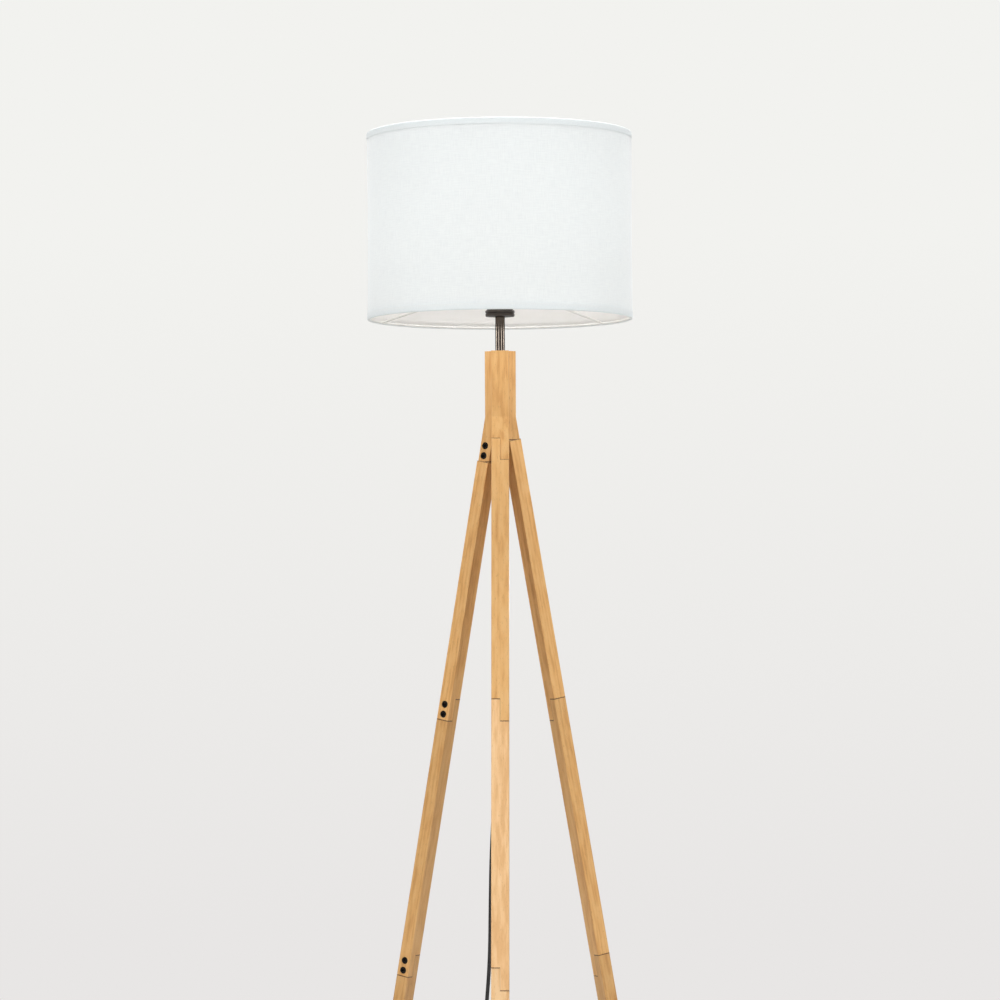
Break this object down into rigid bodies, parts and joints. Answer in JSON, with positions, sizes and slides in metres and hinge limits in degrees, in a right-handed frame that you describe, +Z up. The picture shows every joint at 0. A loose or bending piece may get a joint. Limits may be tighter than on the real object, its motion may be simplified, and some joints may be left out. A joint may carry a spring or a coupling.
{
  "type": "tripod floor lamp",
  "caption": "Tripod floor lamp: white fabric drum shade on a short dark stem, over slim timber legs joined by bolted half-laps to a glued timber hub, with a black cord and foot switch.",
  "frame": {"origin": "on the floor, under the lamp's own axis, midway between the feet", "axes": "+Z up along the lamp's axis; the front leg points along -Y, the other two to 30 and 150 degrees"},
  "size_m": [0.4354, 0.4349, 1.5847],
  "materials": {
    "timber": "oiled hardwood, open grain",
    "foot_rubber": "moulded rubber",
    "black_bolt": "black oxide on machined steel",
    "brass": "turned brass",
    "zinc_steel": "zinc plated steel",
    "gunmetal": "black nickel plating, polished",
    "nickel_pins": "nickel plated",
    "holder_plastic": "moulded phenolic",
    "porcelain": "glazed porcelain",
    "core_insulation": "extruded insulation",
    "cord_jacket": "extruded black jacket",
    "switch_plastic": "moulded black plastic",
    "tie_fabric": "woven hook-and-loop tape",
    "shade_fabric": "woven white cotton on stiff backing",
    "hem_tape": "white bias tape",
    "white_wire": "white powder coat",
    "bulb_diffuser": "frosted diffuser",
    "bulb_white": "moulded white plastic",
    "board_aluminium": "milled aluminium"
  },
  "bodies": {
    "stand": {"hub_stave_front": "timber", "hub_stave_left": "timber", "hub_stave_right": "timber", "leg_front_upper": "timber", "leg_front_middle": "timber", "leg_front_lower": "timber", "leg_left_upper": "timber", "leg_left_middle": "timber", "leg_left_lower": "timber", "leg_right_upper": "timber", "leg_right_middle": "timber", "leg_right_lower": "timber", "foot_pad_front": "foot_rubber", "foot_pad_left": "foot_rubber", "foot_pad_right": "foot_rubber", "leg_bolts": "black_bolt", "leg_inserts": "brass", "stem_tube": "gunmetal", "threaded_tube": "zinc_steel", "stem_washer": "zinc_steel", "stem_nut": "brass", "cord_relief": "switch_plastic", "cord_in_stem": "cord_jacket", "holder_wires": "core_insulation", "holder_plate": "gunmetal", "holder_base": "holder_plastic", "holder_body": "holder_plastic", "holder_lock_screw": "zinc_steel", "holder_insert": "porcelain", "holder_shell": "brass", "holder_strap": "brass", "holder_centre_contact": "brass", "terminal_screws": "brass", "cord_drop": "cord_jacket", "cord_link": "cord_jacket", "cord_tail": "cord_jacket", "cord_coil": "cord_jacket", "coil_tie": "tie_fabric", "switch_base": "switch_plastic", "switch_cover": "switch_plastic", "switch_spring": "zinc_steel", "switch_contacts": "brass", "switch_screws": "zinc_steel", "plug_body": "switch_plastic", "plug_pins": "nickel_pins"},
    "shade": {"shade_cover": "shade_fabric", "shade_hem_top": "hem_tape", "shade_hem_bottom": "hem_tape", "shade_ring_top": "white_wire", "shade_spider": "white_wire"},
    "clamp_ring": {"shade_clamp_ring": "holder_plastic"},
    "bulb": {"bulb_globe": "bulb_diffuser", "bulb_housing": "bulb_white", "bulb_board": "board_aluminium", "bulb_cap": "nickel_pins", "bulb_insulator": "holder_plastic", "bulb_contact": "brass"},
    "button": {"switch_button": "switch_plastic"}
  },
  "joints": [
    {"name": "shade_turn", "type": "hinge", "parent": "stand", "child": "shade", "pos_m": [0, 0, 1.3631], "axis": [0, 0, 1], "continuous": true},
    {"name": "clamp_ring_turn", "type": "hinge", "parent": "stand", "child": "clamp_ring", "pos_m": [0, 0, 1.3681], "axis": [0, 0, 1], "continuous": true},
    {"name": "bulb_turn", "type": "hinge", "parent": "stand", "child": "bulb", "pos_m": [0, 0, 1.39], "axis": [0, 0, 1], "continuous": true},
    {"name": "switch_press", "type": "slide", "parent": "stand", "child": "button", "axis": [0, 0, -1], "range_m": [0, 0.003], "stiffness_N_per_m": 400, "springref_m": -0.004, "deforming": ["switch_spring"]}
  ]
}
